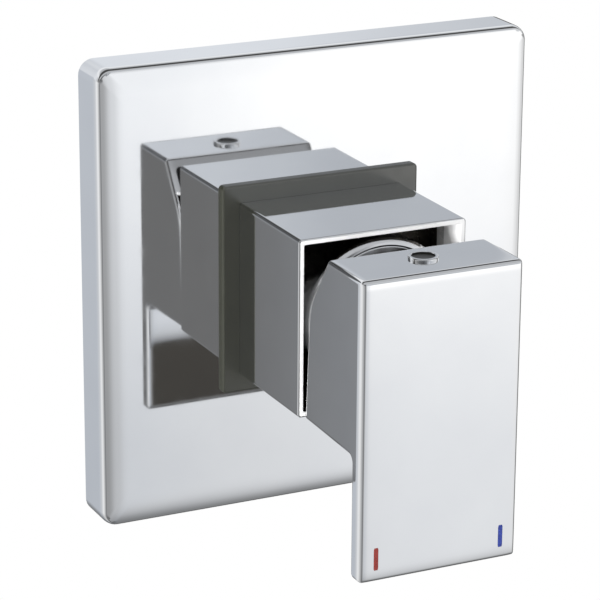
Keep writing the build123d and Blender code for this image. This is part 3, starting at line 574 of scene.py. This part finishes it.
gasket_loops += [
    square_loop(sleeve_half + gasket_lip, sleeve_corner + gasket_lip, gasket_low.y),
    square_loop(sleeve_half, sleeve_corner, gasket_low.y + gasket_lip),
    square_loop(sleeve_half, sleeve_corner, gasket_high.y),
    square_loop(spigot_half, gasket_corner, gasket_high.y),
    square_loop(spigot_half, gasket_corner, plate_face),
]
gasket_frame = skin("gasket_frame", gasket_loops, (gasket_rubber,), closed=True)
polished(gasket_frame)
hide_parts("sleeve_gasket")
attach(gasket_frame, "valve")

# Sleeve: a square brass tube, chromed and polished outside. Its rim's face and the side walls
# of its mouth are white as painted light, behind them a grey band is painted penumbra, and the
# bore behind that is near-black as painted shade. A flange in it is clamped between the neck's
# fibre washer and the domed cover.
sleeve_chrome = chrome("sleeve_chrome", 0.04, 0.00001)
# Painted penumbra: a grey band between the mouth's painted light and the bore's painted shade.
penumbra_band_paint, tree, shader = surface("penumbra_band_paint", (0.58, 0.58, 0.58), 0.3)
mottle(tree, shader, grain(tree, 0.009), (0.54, 0.54, 0.54), (0.62, 0.62, 0.62))
tree.links.new(spread(tree, grain(tree, 0.004), 0.22, 0.40), shader.inputs["Roughness"])
relief(tree, shader, grain(tree, 0.0007), 0.00003)
# Painted light: a white that stands for the lit part of the mouth's side walls and the rim's face.
mouth_painted_light, tree, shader = surface("mouth_painted_light", (0.94, 0.94, 0.94), 0.4)
mottle(tree, shader, grain(tree, 0.008), (0.90, 0.90, 0.90), (0.96, 0.96, 0.96))
relief(tree, shader, grain(tree, 0.0007), 0.00002)
# Painted shade: a near-black for the bore, the flange and the mouth's floor and ceiling, where shadow
# falls.
bore_painted_shade, tree, shader = surface("bore_painted_shade", (0.05, 0.045, 0.038), 0.3, 0.8)
mottle(tree, shader, grain(tree, 0.006), (0.03, 0.027, 0.022), (0.08, 0.07, 0.058))
tree.links.new(spread(tree, grain(tree, 0.004), 0.22, 0.40), shader.inputs["Roughness"])
relief(tree, shader, grain(tree, 0.0016), 0.00010)
fibre, tree, shader = surface("pressed_fibre", (0.34, 0.14, 0.08), 0.8)
mottle(tree, shader, grain(tree, 0.001, detail=6.0), (0.25, 0.09, 0.05), (0.42, 0.19, 0.11))
relief(tree, shader, grain(tree, 0.0005), 0.00005)
dress("sleeve_washer", fibre)
rim_y = sleeve_low.y
sleeve_wall, bore_corner = 0.0018, 0.0006
bore_half = sleeve_half - sleeve_wall
sleeve_rim_round, mouth_round = 0.0005, 0.0002
# How deep the mouth's painted light reaches, and how deep the painted penumbra band behind it is.
painted_light_depth, penumbra_band_depth = 0.0108, 0.0045
flange_hole_r, flange_thickness = 0.0236, 0.004
flange_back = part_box("sleeve_washer")[0].y
flange_front = flange_back - flange_thickness


def round_loop(radius, y, steps=8):
    """A circle about the cartridge axis with as many points as a square loop."""
    points = []
    for quarter in range(4):
        for step in range(steps + 1):
            angle = pi / 2 * (quarter + (step + 0.5) / (steps + 1))
            points.append(Vector((radius * cos(angle), y, radius * sin(angle))))
    return points


sleeve_loops = [square_loop(sleeve_half, sleeve_corner, sleeve_high.y)]
for inset, back in quarter_round(sleeve_rim_round, 5):
    sleeve_loops.append(square_loop(sleeve_half - inset, sleeve_corner - inset, rim_y + back))
rim_start = len(sleeve_loops) - 1
for inset, back in reversed(list(quarter_round(mouth_round, 3))):
    sleeve_loops.append(square_loop(bore_half + inset, bore_corner + inset, rim_y + back))
mouth_start = len(sleeve_loops) - 1
for y in (rim_y + painted_light_depth, rim_y + painted_light_depth + penumbra_band_depth, flange_front):
    sleeve_loops.append(square_loop(bore_half, bore_corner, y))
sleeve_loops += [round_loop(flange_hole_r, y) for y in (flange_front, flange_back)]
sleeve_loops += [square_loop(bore_half, bore_corner, y) for y in (flange_back, sleeve_high.y)]
sleeve_finish = {band: 1 for band in range(rim_start, mouth_start + 1)}
sleeve_finish[mouth_start + 1] = 2
sleeve_finish.update({band: 3 for band in range(mouth_start + 2, len(sleeve_loops))})
sleeve_coats_and_painted_light = (sleeve_chrome, mouth_painted_light, penumbra_band_paint, bore_painted_shade)
sleeve_tube = skin("sleeve_tube", sleeve_loops, sleeve_coats_and_painted_light, True, sleeve_finish)
# The mouth's floor and ceiling get the near-black painted shade too; only its side walls carry the
# painted light.
for face in sleeve_tube.data.polygons:
    if face.center.y > rim_y + mouth_round and face.material_index in (1, 2):
        if abs(face.center.x) < abs(face.center.z):
            face.material_index = 3
polished(sleeve_tube)
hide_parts("square_sleeve")
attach(sleeve_tube, "valve")


# Cartridge: a moulded housing on a moulded base, with rubber seals below, and between them
# two lapped ceramic discs. The upper disc is pushed about by a carrier, which a rotor steers.
def moulded(name, dark, light, gloss):
    """Moulded plastic: nearly even colour with a fine satin skin."""
    material, tree, shader = surface(name, light, gloss)
    mottle(tree, shader, grain(tree, 0.007), dark, light)
    drift = spread(tree, grain(tree, 0.003), 0.85 * gloss, 1.2 * gloss)
    tree.links.new(drift, shader.inputs["Roughness"])
    relief(tree, shader, grain(tree, 0.0006), 0.00001)
    return material


white_acetal = moulded("white_acetal", (0.70, 0.70, 0.67), (0.78, 0.78, 0.75), 0.35)
grey_acetal = moulded("grey_acetal", (0.10, 0.11, 0.13), (0.14, 0.15, 0.175), 0.38)
red_acetal = moulded("red_acetal", (0.44, 0.03, 0.02), (0.52, 0.05, 0.03), 0.35)
lapped_ceramic = moulded("lapped_ceramic", (0.78, 0.77, 0.73), (0.86, 0.85, 0.81), 0.12)
for material, pieces in (
    (white_acetal, ("cartridge_housing", "cartridge_base")),
    (grey_acetal, ("rotor", "disc_carrier")),
    (lapped_ceramic, ("fixed_disc", "moving_disc")),
    (black_rubber, ("port_seals", "base_o_ring")),
    (red_acetal, ("limit_ring",)),
):
    for node in pieces:
        dress(node, material)

# Retaining nut: turned from brass bar, it screws into the neck and holds the cartridge.
dress("retaining_nut", turned_brass)

# Domed cover: a spun and chromed ring that screws on the neck and clamps the sleeve. Its
# crown shows inside the sleeve's mouth, round the lever's spindle.
dome_low, dome_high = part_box("dome_cover")
dome_chrome = chrome("dome_chrome", 0.16, 0.00001)
cover_r, cover_hole_r = (dome_high.x - dome_low.x) / 2, 0.0108
cover_set_back, cover_wall, cover_skirt = 0.0006, 0.0015, 0.00195
cover_dome_inset, cover_dome_step, cover_dome_rise = 0.0015, 0.0005, 0.0036
cover_bevel, cover_land, bevel_steps = 0.0019, 0.0022, 8
cover_groove, groove_depth, groove_draft = 0.0006, 0.0005, 0.0001
dome_steps, hole_lip = 12, 0.0004
cover_front = rim_y + cover_set_back
cover_dome_r = cover_r - cover_dome_inset
dome_apex = cover_front - cover_dome_step - cover_dome_rise
dome_radius = (cover_dome_r**2 + cover_dome_rise**2) / (2 * cover_dome_rise)
dome_centre = dome_apex + dome_radius


def on_dome(r, inside=0.0):
    """How far along the axis the dome lies at this radius, or the surface this far inside it."""
    return dome_centre - sqrt((dome_radius - inside) ** 2 - r**2)


def ring_loop(radius, y, count=96):
    """A circle about the cartridge axis."""
    turns = [2 * pi * k / count for k in range(count)]
    return [Vector((radius * cos(turn), y, radius * sin(turn))) for turn in turns]


crown_r = cover_r - cover_land - cover_groove
dome_loops = [
    ring_loop(cover_hole_r, on_dome(cover_hole_r, cover_wall)),
    ring_loop(cover_hole_r, on_dome(cover_hole_r) + hole_lip),
]
for step in range(dome_steps + 1):
    r = cover_hole_r + hole_lip + (crown_r - cover_hole_r - hole_lip) * step / dome_steps
    dome_loops.append(ring_loop(r, on_dome(r)))
groove_floor = on_dome(crown_r) + groove_depth
dome_loops.append(ring_loop(crown_r + groove_draft, groove_floor))
dome_loops.append(ring_loop(cover_r - cover_land, groove_floor))
land_front = cover_front - cover_dome_step / 2
land_fall = cover_bevel + cover_dome_step / 2
# The land is nearly a straight bevel, with a share of a quarter round in it.
for step in range(bevel_steps + 1):
    share, turn = step / bevel_steps, pi / 2 * step / bevel_steps
    r = cover_r - cover_land + cover_land * (0.55 * sin(turn) + 0.45 * share)
    y = land_front + land_fall * (0.45 * (1 - cos(turn)) + 0.55 * share)
    dome_loops.append(ring_loop(r, y))
skirt_r = cover_r - cover_skirt
dome_loops += [
    ring_loop(cover_r, dome_high.y),
    ring_loop(skirt_r, dome_high.y),
    ring_loop(skirt_r, on_dome(skirt_r, cover_wall)),
]
for step in range(1, dome_steps):
    r = skirt_r + (cover_hole_r - skirt_r) * step / dome_steps
    dome_loops.append(ring_loop(r, on_dome(r, cover_wall)))
dome_ring = skin("dome_ring", dome_loops, (dome_chrome,), closed=True)
polished(dome_ring)
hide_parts("dome_cover")
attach(dome_ring, "valve")

# Spindle: a square bar of drawn steel that tips on a pin pressed across the rotor.
drawn_steel, tree, shader = surface("drawn_steel", (0.6, 0.6, 0.61), 0.3, 1.0)
drawn = grain(tree, 0.0005, stretch=(1.0, 0.03, 1.0))
mottle(tree, shader, drawn, (0.50, 0.50, 0.51), (0.66, 0.66, 0.67))
tree.links.new(spread(tree, drawn, 0.22, 0.38), shader.inputs["Roughness"])
relief(tree, shader, drawn, 0.00001)
dress("spindle", drawn_steel)
dress("lever_pin", drawn_steel)

# Lever: one brass casting, polished and chromed. A hollow square head stands over the
# sleeve's mouth, and a flat paddle hangs from its front. The wheel has rolled its edges.
lever_low, lever_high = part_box("lever_handle")
lever_half = (lever_high.x - lever_low.x) / 2
lever_front, lever_back = lever_low.y, lever_high.y
head_top, paddle_end = lever_high.z, lever_low.z
head_back_top, head_bottom = -0.0769, -0.0287
bend_y, bend_z, bend_r = -0.0646, 0.00914, 0.020
paddle_thickness, underside_fall = 0.0063, 0.001
paddle_back = lever_front + paddle_thickness
head_round, nook_round, tip_back_round, tip_front_round = 0.0012, 0.0020, 0.0019, 0.0009
side_round, front_depth = 0.00125, 0.0028
# The side profile's corners: y, z, radius, and how deep the edge is on the run from there.
lever_corners = (
    (lever_front, head_top, head_round, side_round),
    (head_back_top, head_top, head_round, side_round),
    (bend_y, bend_z, bend_r, side_round),
    (lever_back, head_bottom, head_round, side_round),
    (paddle_back, head_bottom - underside_fall, nook_round, side_round),
    (paddle_back, paddle_end, tip_back_round, side_round),
    (lever_front, paddle_end, tip_front_round, front_depth),
)
lever_chrome = chrome("lever_chrome", 0.04, 0.00001)
# The head's hollow, boss, column and holes: dull cast metal, made darker still as painted shade in the
# recess.
lever_inside, tree, shader = surface("lever_inside", (0.22, 0.22, 0.22), 0.5, 1.0)
mottle(tree, shader, grain(tree, 0.006), (0.18, 0.18, 0.18), (0.26, 0.26, 0.26))
relief(tree, shader, grain(tree, 0.0008), 0.00008)
smallest_round = 0.0002
end_shares = (0.004, 0.009, 0.015, 0.022, 0.03, 0.042, 0.055, 0.07, 0.09, 0.14, 0.24, 0.37)
run_shares = (*end_shares, 0.5, *(1 - share for share in reversed(end_shares)))


def rounded_outline(corners, share, roll, steps=8):
    """Points round a polygon whose runs are set in by a share of their own edge's depth and
    by the roll. Each corner is turned by its own arc."""
    at = [Vector(corner[:2]) for corner in corners]
    runs = [(far - near).normalized() for near, far in zip(at, at[1:] + at[:1])]
    inward = [Vector((run.y, -run.x)) for run in runs]
    insets = [corner[3] * share + roll for corner in corners]
    arcs = []
    for k, (corner, run, side) in enumerate(zip(at, runs, inward)):
        before, side_before = runs[k - 1], inward[k - 1]
        way = -1 if before.cross(run) < 0 else 1
        first, second, lean = insets[k - 1], insets[k], side_before.dot(side)
        radius = max(corners[k][2] + way * min(first, second), smallest_round)
        angle = before.angle(run)
        corner = corner + (
            side_before * (first - second * lean) + side * (second - first * lean)
        ) / (1 - lean**2)
        start = corner - before * radius * sin(angle / 2) / cos(angle / 2)
        spoke = side_before * radius * way
        centre = start - spoke
        swings = [way * angle * step / steps for step in range(steps + 1)]
        arcs.append([centre + Matrix.Rotation(swing, 2) @ spoke for swing in swings])
    points = []
    for arc, following in zip(arcs, arcs[1:] + arcs[:1]):
        points += arc
        points += [arc[-1].lerp(following[0], share) for share in run_shares]
    return points


# The lever's rolls: each has its width and its slope at the edge.
side_roll_width, side_roll_slope = 0.0036, 0.22
end_roll, brow_roll = (0.0055, 0.12), (0.0032, 0.38)
top_front_roll, top_back_roll = (0.006, 0.07), (0.004, 0.05)
skin_depth = 0.004


def face_roll(z):
    """How far the lever's front face is taken back near its top and its end."""
    from_end, from_top = max(z - paddle_end, 0.0), max(head_top - z, 0.0)
    return rolled(from_end, *end_roll) + rolled(from_top, *brow_roll)


def lever_loop(x, share, roll):
    """The lever's side profile at x, set in by this share of its edges and this roll."""
    loop = []
    for y, z in rounded_outline(lever_corners, share, roll):
        frontness = max(1 - (y - lever_front - front_depth * share) / skin_depth, 0.0)
        topness = max(1 - (head_top - side_round * share - z) / skin_depth, 0.0)
        fall = rolled(max(y - lever_front, 0.0), *top_front_roll)
        fall += rolled(max(head_back_top - y, 0.0), *top_back_roll)
        loop.append(Vector((x, y + frontness * face_roll(z), z - topness * fall)))
    return loop


stations = []
for from_side, share in quarter_round(side_round, 12, 1.0):
    stations.append((from_side, share, rolled(from_side, side_roll_width, side_roll_slope)))
for from_side in (0.0014, 0.0016, 0.0019, 0.0023, 0.0027, side_roll_width, 0.006, 0.012, 0.018):
    stations.append((from_side, 0.0, rolled(from_side, side_roll_width, side_roll_slope)))
lever_loops = [lever_loop(from_side - lever_half, share, roll) for from_side, share, roll in stations]
lever_loops += [
    lever_loop(lever_half - from_side, share, roll) for from_side, share, roll in reversed(stations)
]
lever_body = skin("lever_body", lever_loops, (lever_chrome,))


def cut(piece, tool, way="DIFFERENCE"):
    """Cuts the tool out of the piece, or joins it on, and does away with the tool."""
    step = piece.modifiers.new("cut", "BOOLEAN")
    step.operation = way
    step.solver = "EXACT"
    step.material_mode = "TRANSFER"
    step.object = tool
    settled(piece)
    bpy.data.objects.remove(tool)


head_wall = 0.0027
pocket_floor = lever_front + head_wall
pocket_top, pocket_bottom = head_top - head_wall, head_bottom + head_wall
pocket_middle, pocket_half_z = (pocket_top + pocket_bottom) / 2, (pocket_top - pocket_bottom) / 2
pocket_half_x = lever_half - head_wall
pocket_corner, pocket_cove = 0.0015, 0.001
beyond = 0.001
pocket = []
for cove, y in (
    (pocket_cove, pocket_floor), (0.0, pocket_floor + pocket_cove), (0.0, lever_back + beyond),
):
    half, half_z = pocket_half_x - cove, pocket_half_z - cove
    pocket.append(square_loop(half, pocket_corner, y, pocket_middle, half_z))
cut(lever_body, skin("pocket", pocket, (lever_inside,)))
boss_half, boss_corner, boss_end = 0.00755, 0.001, -0.0745
boss = [square_loop(boss_half, boss_corner, y) for y in (pocket_floor - beyond, boss_end)]
cut(lever_body, skin("boss", boss, (lever_inside,)), "UNION")
column_share, column_r = 0.58, 0.007
column_y = lever_front + column_share * (head_back_top - lever_front)


def post_loop(radius, z, count=64):
    """A level circle about the set screw's axis."""
    turns = [2 * pi * k / count for k in range(count)]
    return [Vector((radius * cos(turn), column_y + radius * sin(turn), z)) for turn in turns]


column = [post_loop(column_r, z) for z in (0.0, pocket_top + beyond)]
cut(lever_body, skin("column", column, (lever_inside,)), "UNION")
socket_half, socket_corner = 0.00405, 0.0002
socket_end = pocket_floor + head_wall
socket = [square_loop(socket_half, socket_corner, y) for y in (socket_end, boss_end + beyond)]
cut(lever_body, skin("socket", socket, (lever_inside,)))
screw_r, screw_top, shaft_r = 0.003, 0.013, 0.0032
cap_hole_r, cap_hole_depth, cap_chamfer = 0.0043, 0.0051, 0.0003
cap_hole_floor, cap_mouth_r = head_top - cap_hole_depth, cap_hole_r + cap_chamfer
screw_hole = [
    post_loop(r, z) for r, z in (
        (screw_r, 0.0), (screw_r, screw_top), (shaft_r, screw_top), (shaft_r, cap_hole_floor),
        (cap_hole_r, cap_hole_floor), (cap_hole_r, head_top - cap_chamfer),
        (cap_mouth_r, head_top), (cap_mouth_r, head_top + beyond),
    )
]
cut(lever_body, skin("screw_hole", screw_hole, (lever_inside,)))


# Marks: red enamel for hot on the left, blue for cold on the right, filled into shallow
# slots near the paddle's end.
def enamel(name, dark, light):
    """Baked enamel: a glossy fill with a slightly uneven colour."""
    material, tree, shader = surface(name, light, 0.25)
    mottle(tree, shader, grain(tree, 0.0012), dark, light)
    relief(tree, shader, grain(tree, 0.0006), 0.00002)
    return material


mark_half, mark_depth, mark_nick = 0.00075, 0.0004, 0.0002
mark_steps, slot_fit = 12, 0.00003


def mark_bar(name, node, material, grow=0.0, proud=0.0):
    """A mark's bar, which follows the rolled face, or the tool that cuts its slot."""
    low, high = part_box(node)
    middle = (low.x + high.x) / 2
    side_roll = rolled(lever_half - abs(middle), side_roll_width, side_roll_slope)
    loops = []
    for step in range(mark_steps + 1):
        z = low.z - grow + (high.z - low.z + 2 * grow) * step / mark_steps
        half = mark_half + grow - (mark_nick if step in (0, mark_steps) else 0.0)
        front = lever_front + face_roll(z) + side_roll
        y_front, y_back = front - proud, lever_front + mark_depth
        loops.append([Vector((middle + x, y, z)) for x, y in (
            (-half, y_front), (half, y_front), (half, y_back), (-half, y_back),
        )])
    return skin(name, loops, (material,))


for colour, node, dark, light in (
    ("red", "hot_mark", (0.19, 0.020, 0.015), (0.26, 0.032, 0.024)),
    ("blue", "cold_mark", (0.018, 0.035, 0.22), (0.028, 0.052, 0.30)),
):
    cut(lever_body, mark_bar("mark_slot", node, lever_chrome, slot_fit, beyond))
    mark = mark_bar(colour + "_mark", node, enamel(colour + "_enamel", dark, light))
    polished(mark)
    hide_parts(node)
    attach(mark, "lever")
polished(lever_body)
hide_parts("lever_handle")
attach(lever_body, "lever")


# Set screw and cap: a blackened grub screw clamps the lever on the spindle. A chromed button
# with a sunk black filling hides it.
black_steel, tree, shader = surface("black_steel", (0.05, 0.05, 0.055), 0.35, 1.0)
mottle(tree, shader, grain(tree, 0.002), (0.035, 0.035, 0.04), (0.07, 0.07, 0.075))
relief(tree, shader, grain(tree, 0.0005), 0.00001)
dress("set_screw", black_steel)
cap_low, cap_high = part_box("screw_cap")
cap_r, cap_stem_r = (cap_high.x - cap_low.x) / 2, 0.0042
cap_rise, cap_edge, cap_nick = 0.0009, 0.0004, 0.0001
cap_well_r, cap_well_rise, cap_dish = 0.0036, 0.0002, 0.0002
stem_top, brim_under = 0.0002, 0.00015
cap_rim, cap_well_floor = head_top + cap_rise, head_top + cap_well_rise
cap_loops = [post_loop(cap_stem_r, z) for z in (cap_low.z, head_top - stem_top)]
cap_loops.append(post_loop(cap_r, head_top - brim_under))
for inset, back in quarter_round(cap_edge, 6):
    cap_loops.append(post_loop(cap_r - inset, cap_rim - back))
cap_loops.append(post_loop(cap_well_r + cap_nick, cap_rim))
cap_loops.append(post_loop(cap_well_r, cap_rim - cap_nick))
well_start = len(cap_loops) - 1
for share in (1.0, 0.97, 0.9, 0.75, 0.5, 0.2):
    cap_loops.append(post_loop(cap_well_r * share, cap_well_floor + cap_dish * share**4))
cap_chrome = chrome("cap_chrome", 0.04, 0.00001)
cap_filling, tree, shader = surface("cap_filling", (0.012, 0.012, 0.011), 0.3)
mottle(tree, shader, grain(tree, 0.002), (0.009, 0.009, 0.008), (0.016, 0.016, 0.015))
relief(tree, shader, grain(tree, 0.0006), 0.00001)
cap_finish = {band: 1 for band in range(well_start, len(cap_loops))}
cap_button = skin("cap_button", cap_loops, (cap_chrome, cap_filling), finish=cap_finish)
for face in cap_button.data.polygons:
    if len(face.vertices) > 4 and face.center.z > head_top:
        face.material_index = 1
polished(cap_button)
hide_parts("screw_cap")
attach(cap_button, "lever")
